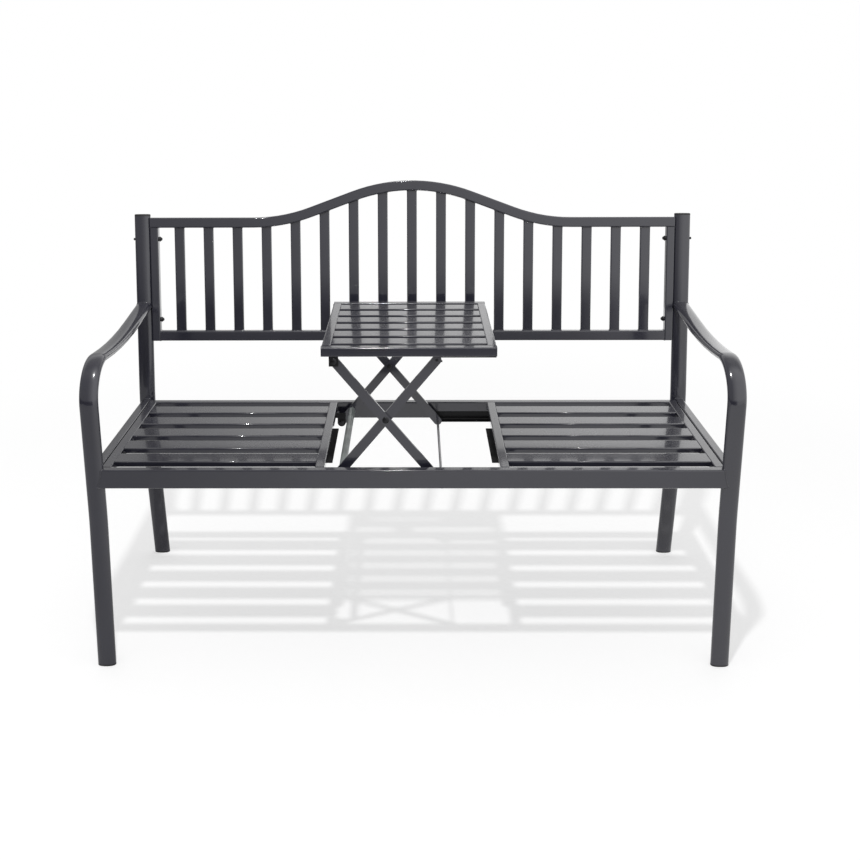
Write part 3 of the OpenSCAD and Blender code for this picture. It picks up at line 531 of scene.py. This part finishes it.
def outline(centre, across, up, width, height, corner, open_top=False):
    """Points round a tube's end, close enough together to follow what it meets."""
    points = []
    for quarter, (sx, sy) in enumerate(((1, 1), (-1, 1), (-1, -1), (1, -1))):
        for step in range(4):
            angle = math.pi / 2 * (quarter + step / 3)
            points.append((sx * (width / 2 - corner) + corner * math.cos(angle),
                           sy * (height / 2 - corner) + corner * math.sin(angle)))
    close = []
    for here, there in zip(points, points[1:] + points[:1]):
        parts = max(1, round(math.dist(here, there) / 0.004))
        close += [(here[0] + (there[0] - here[0]) * k / parts,
                   here[1] + (there[1] - here[1]) * k / parts) for k in range(parts)]
    if open_top:
        start = next(i for i in range(len(close)) if close[i - 1][1] > height / 2 - corner - 1e-5
                     and close[i][1] <= height / 2 - corner - 1e-5)
        close = close[start:] + close[:start]
        close = [p for p in close if p[1] <= height / 2 - corner - 1e-5]
    return [centre + across * x + up * y for x, y in close]


class Seams:
    """Lines along which beads are laid, gathered as a mesh of edges."""

    def __init__(self, name):
        self.name, self.points, self.edges = name, [], []

    def line(self, points, closed=False):
        start = len(self.points)
        self.points += points
        self.edges += [(start + i, start + i + 1) for i in range(len(points) - 1)]
        if closed:
            self.edges.append((start + len(points) - 1, start))

    def against(self, name, direction, points, closed=True):
        """Carries an outline along a direction until it meets a piece, and lays it there."""
        piece = solid.get(name) or nodes[name]
        runs, run = [], []
        for point in points:
            hit, where, *_ = piece.ray_cast(point, direction, distance=0.08)
            if hit:
                run.append(where)
            elif run:
                runs, run = runs + [run], []
        runs += [run] if run else []
        if len(runs) == 1 and len(runs[0]) == len(points):
            self.line(runs[0], closed)
            return
        if closed and len(runs) > 1:
            first_hit, *_ = piece.ray_cast(points[0], direction, distance=0.08)
            last_hit, *_ = piece.ray_cast(points[-1], direction, distance=0.08)
            if first_hit and last_hit:
                runs[0] = runs.pop() + runs[0]
        for part in runs:
            if len(part) > 1:
                self.line(part)

    def mesh(self):
        made = bpy.data.meshes.new(self.name)
        made.from_pydata([tuple(p) for p in self.points], self.edges, [])
        return made


X, Y, Z = Vector((1, 0, 0)), Vector((0, 1, 0)), Vector((0, 0, 1))
frame_seams, table_seams = Seams("frame_seams"), Seams("table_seams")
square_w, square_corner, stretcher_corner = 0.020, 0.0025, 0.003
bead = {"Bead_Radius": 0.0016, "Ripple_Pitch": 0.0014, "Ripple_Depth": 0.16, "Material": charcoal}
arm_slope = math.radians(90 - sum(run[1] for run in leg_runs if len(run) == 2))
arm_way = Vector((0, math.cos(arm_slope), math.sin(arm_slope)))
arm_up = Vector((0, -math.sin(arm_slope), math.cos(arm_slope)))
before_post = Vector((0, leg_path[-1].y, leg_path[-1].z)) - arm_way * (arm_let_in + 0.05)
up_back = in_back.to_3x3() @ Z
through_back = in_back.to_3x3() @ Y
# Each outline starts inside its own tube, short of the joint, and is carried on to what it meets.
for side, name in ((-1, "left"), (1, "right")):
    column = X * side * side_x
    frame_seams.against(f"{name}_back_post", arm_way,
                        [column + before_post + X * x + arm_up * y
                         for x, y in oval(tube_w, tube_t, 96)])
    low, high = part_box(f"{name}_stretcher")
    for onto, direction in ((f"{name}_back_post", 1), (f"{name}_arm_leg", -1)):
        near_end = Vector((column.x, 0.175 * direction - 0.025, (low.z + high.z) / 2))
        frame_seams.against(onto, Y * direction,
                            outline(near_end, X, Z, high.x - low.x, high.z - low.z,
                                    stretcher_corner))
    low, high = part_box("front_seat_rail")
    near_leg = Vector((side * 0.64, (low.y + high.y) / 2, (low.z + high.z) / 2))
    frame_seams.against(f"{name}_arm_leg", X * side,
                        outline(near_leg, Y, Z, high.y - low.y, high.z - low.z, rail_corner))
    for rail in (f"{name}_outer_seat_rail", f"{name}_inner_seat_rail"):
        low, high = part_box(rail)
        middle = (low + high) / 2
        for direction, onto in ((-1, "front_seat_rail"), (1, "rear_seat_rail")):
            frame_seams.against(onto, Y * direction,
                                outline(middle + Y * direction * 0.18, X, Z, square_w, square_w,
                                        square_corner, open_top=True), closed=False)
    low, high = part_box(f"{name}_seat_slats")
    first_y, step_y = slat_stations(low, high, 5, seat_slat_w)
    for i in range(5):
        centre = Vector(((low.x + high.x) / 2, first_y + i * step_y, high.z - seat_slat_t / 2))
        for direction in (-1, 1):
            onto = f"{name}_{'outer' if direction == side else 'inner'}_seat_rail"
            frame_seams.against(onto, X * direction,
                                outline(centre + X * direction * 0.19, Y, Z, seat_slat_w,
                                        seat_slat_t, slat_corner, open_top=True), closed=False)
    bottom_rail_mid = in_back @ Vector((side * 0.6, 0, bottom_rail_top - bottom_rail_h / 2))
    frame_seams.against(f"back_{name}_upright", X * side,
                        outline(bottom_rail_mid, through_back, up_back, square_w, bottom_rail_h,
                                rail_corner))
    frame_seams.against("back_top_rail", up_back,
                        outline(in_back @ Vector((side * 0.65, 0, 0.36)), X, through_back,
                                square_w, square_w, square_corner))
for i in range(-8, 9):
    slat_mid = in_back @ Vector((i * back_slat_pitch, 0, bottom_rail_top + 0.03))
    frame_seams.against("back_bottom_rail", -up_back,
                        outline(slat_mid, X, through_back, back_slat_w, back_slat_t, slat_corner))
    hit, top, *_ = nodes["back_top_rail"].ray_cast(slat_mid, up_back)
    frame_seams.against("back_top_rail", up_back,
                        outline(top - up_back * 0.03, X, through_back, back_slat_w, back_slat_t,
                                slat_corner))
for rail in ("table_left_rail", "table_right_rail"):
    low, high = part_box(rail)
    middle = (low + high) / 2
    for direction, onto in ((-1, "table_front_rail"), (1, "table_rear_rail")):
        for beside in (-1, 1):
            upright = [middle + Y * direction * 0.17 + X * beside * square_w / 2
                       + Z * (k * 0.003 - 0.004) for k in range(5)]
            table_seams.against(onto, Y * direction, upright, closed=False)
low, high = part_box("table_slats")
first_y, step_y = slat_stations(low, high, 6, table_slat_room)
for i in range(6):
    centre = Vector(((low.x + high.x) / 2, first_y + i * step_y, high.z - table_slat_t / 2))
    for direction, onto in ((-1, "table_left_rail"), (1, "table_right_rail")):
        table_seams.against(onto, X * direction,
                            outline(centre + X * direction * 0.13, Y, Z, table_slat_w,
                                    table_slat_t, slat_corner, open_top=True), closed=False)
for seam_lines, body in ((frame_seams, "frame"), (table_seams, "table")):
    grown(f"{body}_welds", weld_bead, body, "powder_coat", seed_mesh=seam_lines.mesh(), Seed=3,
          **bead)


# Fasteners: button-head bolts hold the back and the seat, with domed black nut covers inside.
# The lift turns on headed pins that are riveted over. Bolts and pins are blackened steel.

fixed_at = bpy.data.node_groups.new("fixed_at", "GeometryNodeTree")
open_sockets(fixed_at, "INPUT", [
    ("Places", "NodeSocketGeometry", None), ("Part", "NodeSocketObject", None),
    ("Material", "NodeSocketMaterial", None)])
open_sockets(fixed_at, "OUTPUT", [("Fixed", "NodeSocketGeometry", None)])
given = fixed_at.nodes.new("NodeGroupInput").outputs
part = node(fixed_at, "GeometryNodeObjectInfo", {"Object": given["Part"]},
            transform_space="ORIGINAL")
way = node(fixed_at, "GeometryNodeInputNamedAttribute", {"Name": "way"}, data_type="FLOAT_VECTOR")
facing = node(fixed_at, "FunctionNodeAlignRotationToVector", {"Vector": way.outputs["Attribute"]},
              axis="Z")
put = node(fixed_at, "GeometryNodeInstanceOnPoints",
           {"Points": given["Places"], "Instance": part.outputs["Geometry"],
            "Rotation": facing.outputs[0]})
real = node(fixed_at, "GeometryNodeRealizeInstances", {0: put.outputs[0]})
painted = node(fixed_at, "GeometryNodeSetMaterial",
               {"Geometry": real.outputs[0], "Material": given["Material"]})
node(fixed_at, "NodeGroupOutput", {"Fixed": painted.outputs[0]})


def separate_solids(name):
    """The corners of each loose solid in a piece of the construction."""
    shape = bmesh.new()
    shape.from_mesh(nodes[name].data)
    bmesh.ops.remove_doubles(shape, verts=shape.verts[:], dist=1e-5)
    reached, found = set(), []
    for first in shape.verts:
        if first in reached:
            continue
        reached.add(first)
        waiting, own = [first], []
        while waiting:
            corner = waiting.pop()
            own.append(corner.co.copy())
            beyond = [edge.other_vert(corner) for edge in corner.link_edges]
            fresh = [other for other in beyond if other not in reached]
            reached.update(fresh)
            waiting += fresh
        found.append(own)
    shape.free()
    return found


def turned(name, rings, steps=24):
    """A part turned about Z from rings (height, radius, corners), where 0 corners is round."""
    shape = bmesh.new()
    loops = []
    for height, radius, corners in rings:
        loop = []
        for step in range(steps):
            turn = 2 * math.pi * step / steps
            reach = radius
            if corners:
                sector = 2 * math.pi / corners
                reach = radius / math.cos((turn + sector / 2) % sector - sector / 2)
            loop.append(shape.verts.new((reach * math.cos(turn), reach * math.sin(turn), height)))
        loops.append(loop)
    for low, high in zip(loops, loops[1:]):
        for i in range(steps):
            j = (i + 1) % steps
            shape.faces.new((low[i], low[j], high[j], high[i]))
    shape.faces.new(loops[0][::-1])
    shape.faces.new(loops[-1])
    bmesh.ops.recalc_face_normals(shape, faces=shape.faces[:])
    for face in shape.faces:
        face.smooth = True
    mesh = bpy.data.meshes.new(name)
    shape.to_mesh(mesh)
    shape.free()
    mesh.set_sharp_from_angle(angle=math.radians(32))
    part = bpy.data.objects.new(name, mesh)
    scene.collection.objects.link(part)
    return part


def fixed(name, node_name, axis, head_t, rings, body, slot, material, inwards=False):
    """Puts a turned part in place of each solid of a node, with its head at that one's wider
    end, or for a nut at the end nearer the bench's middle."""
    points, ways = [], []
    for corners in separate_solids(node_name):
        low = Vector([min(c[i] for c in corners) for i in range(3)])
        high = Vector([max(c[i] for c in corners) for i in range(3)])
        middle = (low + high) / 2
        reach = {}
        for end in (low, high):
            rim = [c - middle for c in corners if abs(c[axis] - end[axis]) < 2e-5]
            reach[end[axis]] = max(r.length_squared - r[axis] ** 2 for r in rim)
        head_end = min(reach, key=abs) if inwards else max(reach, key=reach.get)
        way = Vector((0, 0, 0))
        way[axis] = 1.0 if head_end > middle[axis] else -1.0
        seat = middle.copy()
        seat[axis] = head_end - way[axis] * head_t
        points.append(tuple(seat))
        ways.append(way)
    mesh = bpy.data.meshes.new(name)
    mesh.from_pydata(points, [], [])
    attribute = mesh.attributes.new("way", "FLOAT_VECTOR", "POINT")
    for item, way in zip(attribute.data, ways):
        item.vector = way
    part = turned(f"one_{name}", rings)
    grown(name, fixed_at, body, slot, [node_name], seed_mesh=mesh, Part=part, Material=material)
    bpy.data.objects.remove(part)


bolt_head_t, pin_head_t, nut_t = 0.0036, 0.003, 0.005


def button_bolt(length):
    """A bolt with a domed head and a hexagon socket, and its shank below the head's seat."""
    return [(-length, 0.0024, 0), (-length + 0.0006, 0.003, 0), (0, 0.003, 0), (0, 0.0065, 0),
            (0.0007, 0.0065, 0), (0.0018, 0.0060, 0), (0.0028, 0.0048, 0), (0.0034, 0.0034, 0),
            (bolt_head_t, 0.0025, 0), (0.0035, 0.0019, 6), (0.0016, 0.0019, 6)]


def headed_pin(radius, head_r, length, riveted_r=0.0, riveted_t=0.0):
    """A pin with a domed head, and at its far end a chamfer or a riveted rim."""
    rings = [(-length, radius * 0.85, 0), (-length + 0.0005, radius, 0)]
    if riveted_r:
        rings = [(-length, riveted_r * 0.3, 0), (-length + riveted_t * 0.3, riveted_r * 0.75, 0),
                 (-length + riveted_t * 0.7, riveted_r, 0), (-length + riveted_t, riveted_r, 0),
                 (-length + riveted_t, radius, 0)]
    return rings + [(0, radius, 0), (0, head_r, 0), (pin_head_t * 0.4, head_r, 0),
                    (pin_head_t * 0.75, head_r * 0.84, 0), (pin_head_t * 0.95, head_r * 0.5, 0),
                    (pin_head_t, head_r * 0.15, 0)]


cap_nut = [(0, 0.0042, 0), (0.0004, 0.0050, 6), (0.0042, 0.0050, 6), (0.0047, 0.0046, 0),
           (0.0062, 0.0044, 0), (0.0078, 0.0034, 0), (0.0087, 0.0018, 0), (0.0089, 0.0004, 0)]
lock_nut = [(0, 0.0055, 0), (0.0004, 0.00606, 6), (0.0036, 0.00606, 6), (0.0040, 0.0055, 0),
            (0.0049, 0.0052, 0), (0.0051, 0.0046, 0), (0.0051, 0.0030, 0)]
riveted_pin = headed_pin(0.004, 0.007, 0.0106, riveted_r=0.006, riveted_t=0.0006)
blackened = coat("blackened_steel", (0.03, 0.03, 0.032), 0.30, 3e-6, 0.0, 0.10, 0.03, Metallic=1.0)
for place, length in (("back", 0.066), ("seat", 0.048)):
    fixed(f"{place}_bolt_set", f"{place}_bolts", 0, bolt_head_t, button_bolt(length), "frame",
          "zinc", blackened)
for place in ("back", "seat"):
    fixed(f"{place}_cap_nuts", f"{place}_nuts", 0, nut_t, cap_nut, "frame", "black_plastic",
          moulded_black, inwards=True)
fixed("lower_pivot_set", "lower_pivot_pins", 1, pin_head_t, riveted_pin, "frame", "zinc",
      blackened)
fixed("slide_pin_set", "slide_pins", 1, pin_head_t, headed_pin(0.003, 0.006, 0.0105),
      "lift_arms", "zinc", blackened)
fixed("table_hinge_set", "table_hinge_pins", 1, pin_head_t, riveted_pin, "table", "zinc",
      blackened)
fixed("centre_pin_set", "centre_pins", 1, pin_head_t, headed_pin(0.003, 0.007, 0.019),
      "slide_arms", "black_steel", blackened)
fixed("centre_lock_nuts", "centre_nuts", 1, lock_nut[-1][0], lock_nut, "slide_arms",
      "black_steel", blackened, inwards=True)


# Lift: steel arms coated like the frame, welded to a cross tube whose pale colour is painted
# reflection, on black painted brackets and channels. The rod that slides in the channels is zinc
# plated, and two matt black strips carry the lowered table.

finish_in(charcoal, "front_lift_arm", "rear_lift_arm", "front_slide_arm", "rear_slide_arm")
# Painted reflection: the cross tube's pale colour stands in for the sky reflected on its top.
pale_sheen_coat = coat("pale_painted_sheen_coat", (0.17, 0.195, 0.19), 0.36, 5e-6, 3e-5, 0.12, 0.10, IOR=1.5,
                 Coat_Weight=0.6, Coat_Roughness=0.3, Coat_IOR=1.5)
finish_in(pale_sheen_coat, "lift_cross_tube")
black_paint = coat("black_paint", (0.007, 0.007, 0.008), 0.5, 3e-6, 1e-5, 0.08, 0.02,
                   Specular_IOR_Level=0.2)
finish_in(black_paint, "front_slide_channel", "rear_slide_channel", "front_pivot_bracket",
          "rear_pivot_bracket", "front_hinge_bracket", "rear_hinge_bracket", "front_slot_plate",
          "rear_slot_plate")
finish_in(moulded_black, "centre_washers", "seat_spacers")
zinc = coat("zinc_plate", (0.42, 0.42, 0.43), 0.36, 2e-6, 0.0, 0.08, 0.04, Metallic=1.0)
finish_in(zinc, "slide_rod")
matt_black = coat("matt_black_paint", (0.012, 0.012, 0.013), 0.75, 1e-5, 0.0, 0.06, 0.02,
                  Specular_IOR_Level=0.15)

low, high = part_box("lift_cross_tube")
tube_seams = Seams("tube_seams")
for end_y in (low.y + 0.0006, high.y - 0.0006):
    centre = Vector(((low.x + high.x) / 2, end_y, (low.z + high.z) / 2))
    radius = (high.x - low.x) / 2
    turns = [k * math.pi / 12 for k in range(24)]
    tube_seams.line([centre + (X * math.cos(k) + Z * math.sin(k)) * radius for k in turns],
                    closed=True)
grown("cross_tube_welds", weld_bead, "lift_arms", "powder_coat", seed_mesh=tube_seams.mesh(),
      Seed=5, **bead)

ledge_rear_end = 0.030
for side in ("left", "right"):
    low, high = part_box(f"{side}_table_ledge")
    grown(f"{side}_ledge_strip", slat_row, "frame", "black_steel", [f"{side}_table_ledge"],
          flat=True, Count=1, First=((low.x + high.x) / 2, low.y, (low.z + high.z) / 2),
          Turn=(-math.pi / 2, 0.0, 0.0), Length=ledge_rear_end - low.y, Width=high.x - low.x,
          Thickness=high.z - low.z, Corner_Radius=0.001, Material=matt_black)


# Studio: a white paper floor that keeps the bench's shadow and runs into a white background,
# one lamp high up in front, and the photograph's camera.

mesh = bpy.data.meshes.new("floor")
mesh.from_pydata([(-3, -2.6, 0), (3, -2.6, 0), (3, 3, 0), (-3, 3, 0)], [], [(0, 1, 2, 3)])
floor = bpy.data.objects.new("floor", mesh)
scene.collection.objects.link(floor)
paper = bpy.data.materials.new("white_paper")
paper.use_nodes = True
mesh.materials.append(paper)
tree = paper.node_tree
sheet = tree.nodes["Principled BSDF"]
sheet.inputs["Base Color"].default_value = (0.6, 0.6, 0.6, 1)
sheet.inputs["Roughness"].default_value = 0.9
sheet.inputs["Specular IOR Level"].default_value = 0.0
sheet.inputs["Emission Color"].default_value = (1, 1, 1, 1)
sees = node(tree, "ShaderNodeLightPath").outputs
mirrored = math_node(tree, "MAXIMUM", sees["Is Glossy Ray"], sees["Is Transmission Ray"])
on_floor = node(tree, "ShaderNodeTexCoord").outputs["Object"]
across = node(tree, "ShaderNodeSeparateXYZ", {0: on_floor}).outputs["X"]
glow_seen, glow_mirrored = 0.46, 0.42
in_gloss = ranged(tree, across, -0.9, 0.0, 0.0, glow_mirrored)
in_gloss = math_node(tree, "MULTIPLY", mirrored, in_gloss)
strength = math_node(tree, "MULTIPLY_ADD", sees["Is Camera Ray"], glow_seen, in_gloss)
tree.links.new(strength, sheet.inputs["Emission Strength"])
away = node(tree, "ShaderNodeVectorMath", {0: on_floor}, operation="LENGTH").outputs["Value"]
far = ranged(tree, away, 1.3, 2.4, interpolation_type="SMOOTHSTEP")
far = math_node(tree, "MULTIPLY", far, sees["Is Camera Ray"])
pure = node(tree, "ShaderNodeEmission", {"Color": (1, 1, 1, 1), "Strength": 1.0})
fading = node(tree, "ShaderNodeMixShader", {0: far, 1: sheet.outputs[0], 2: pure.outputs[0]})
tree.links.new(fading.outputs[0], tree.nodes["Material Output"].inputs["Surface"])

world = bpy.data.worlds.new("studio")
world.use_nodes = True
scene.world = world
tree = world.node_tree
background = tree.nodes["Background"]
sees = node(tree, "ShaderNodeLightPath").outputs
way = node(tree, "ShaderNodeSeparateXYZ",
           {0: node(tree, "ShaderNodeTexCoord").outputs["Generated"]}).outputs

# The paper behind is bright on the right and dims to the left; the ceiling and the room on the
# camera's side are darker.
behind_left = ranged(tree, way["X"], -0.24, -0.03, 0.36, 0.86)
higher = ranged(tree, way["Z"], 0.36, 0.55, 0.0, 0.7)
behind_left = node(tree, "ShaderNodeMix", {0: higher, 2: behind_left, 3: 0.9}).outputs[0]
behind = math_node(tree, "ADD", behind_left, ranged(tree, way["X"], 0.0, 0.17, 0.0, 0.22))
behind = math_node(tree, "MULTIPLY", behind, ranged(tree, way["Z"], 0.58, 0.80, 1.0, 0.48))
front = ranged(tree, way["X"], -0.30, 0.30, 0.45, 1.35)
near_floor = ranged(tree, way["X"], 0.14, 0.26, 0.12, 0.9)
rising = ranged(tree, way["Z"], -0.105, -0.035)
rising = node(tree, "ShaderNodeMix", {0: rising, 2: near_floor, 3: 1.12}).outputs[0]
front = math_node(tree, "MULTIPLY", front, rising)
room = node(tree, "ShaderNodeMix",
            {0: ranged(tree, way["Y"], -0.15, 0.15), 2: front, 3: behind}).outputs[0]
mirrored = math_node(tree, "MAXIMUM", sees["Is Glossy Ray"], sees["Is Transmission Ray"])
soft_light = 0.66
soft = node(tree, "ShaderNodeMix", {0: mirrored, 2: soft_light, 3: room}).outputs[0]
seen = node(tree, "ShaderNodeMix", {0: sees["Is Camera Ray"], 2: soft, 3: 1.0}).outputs[0]
background.inputs["Color"].default_value = (1, 1, 1, 1)
tree.links.new(seen, background.inputs["Strength"])

lamp = bpy.data.lights.new("key_softbox", "AREA")
lamp.shape = "RECTANGLE"
lamp.size, lamp.size_y = 0.16, 0.16
lamp.energy = 87
held = bpy.data.objects.new("key_softbox", lamp)
scene.collection.objects.link(held)
lamp_at, lamp_aim = Vector((-0.24, -1.78, 4.68)), Vector((0.0, 0.0, 0.4))
held.location = lamp_at
held.rotation_mode = "QUATERNION"
held.rotation_quaternion = (lamp_aim - lamp_at).to_track_quat("-Z", "Y")
held.visible_camera = False

camera = bpy.data.objects.new("camera", bpy.data.cameras.new("camera"))
scene.collection.objects.link(camera)
scene.camera = camera
photo_width, focal_px, centre_px = 860, 1073.97, (403.65, 249.77)
pitch, yaw, roll = math.radians(10.930), math.radians(-0.481), math.radians(-0.200)
camera_at = (0.0015, -2.4310, 1.3579)
camera.matrix_world = (Matrix.Translation(camera_at) @ Matrix.Rotation(-yaw, 4, "Z")
                       @ Matrix.Rotation(math.pi / 2 - pitch, 4, "X")
                       @ Matrix.Rotation(roll, 4, "Z"))
camera.data.sensor_width = 36
camera.data.lens = focal_px / photo_width * 36
camera.data.shift_x = (photo_width / 2 - centre_px[0]) / photo_width
camera.data.shift_y = -(photo_width / 2 - centre_px[1]) / photo_width
scene.view_settings.view_transform = "Standard"
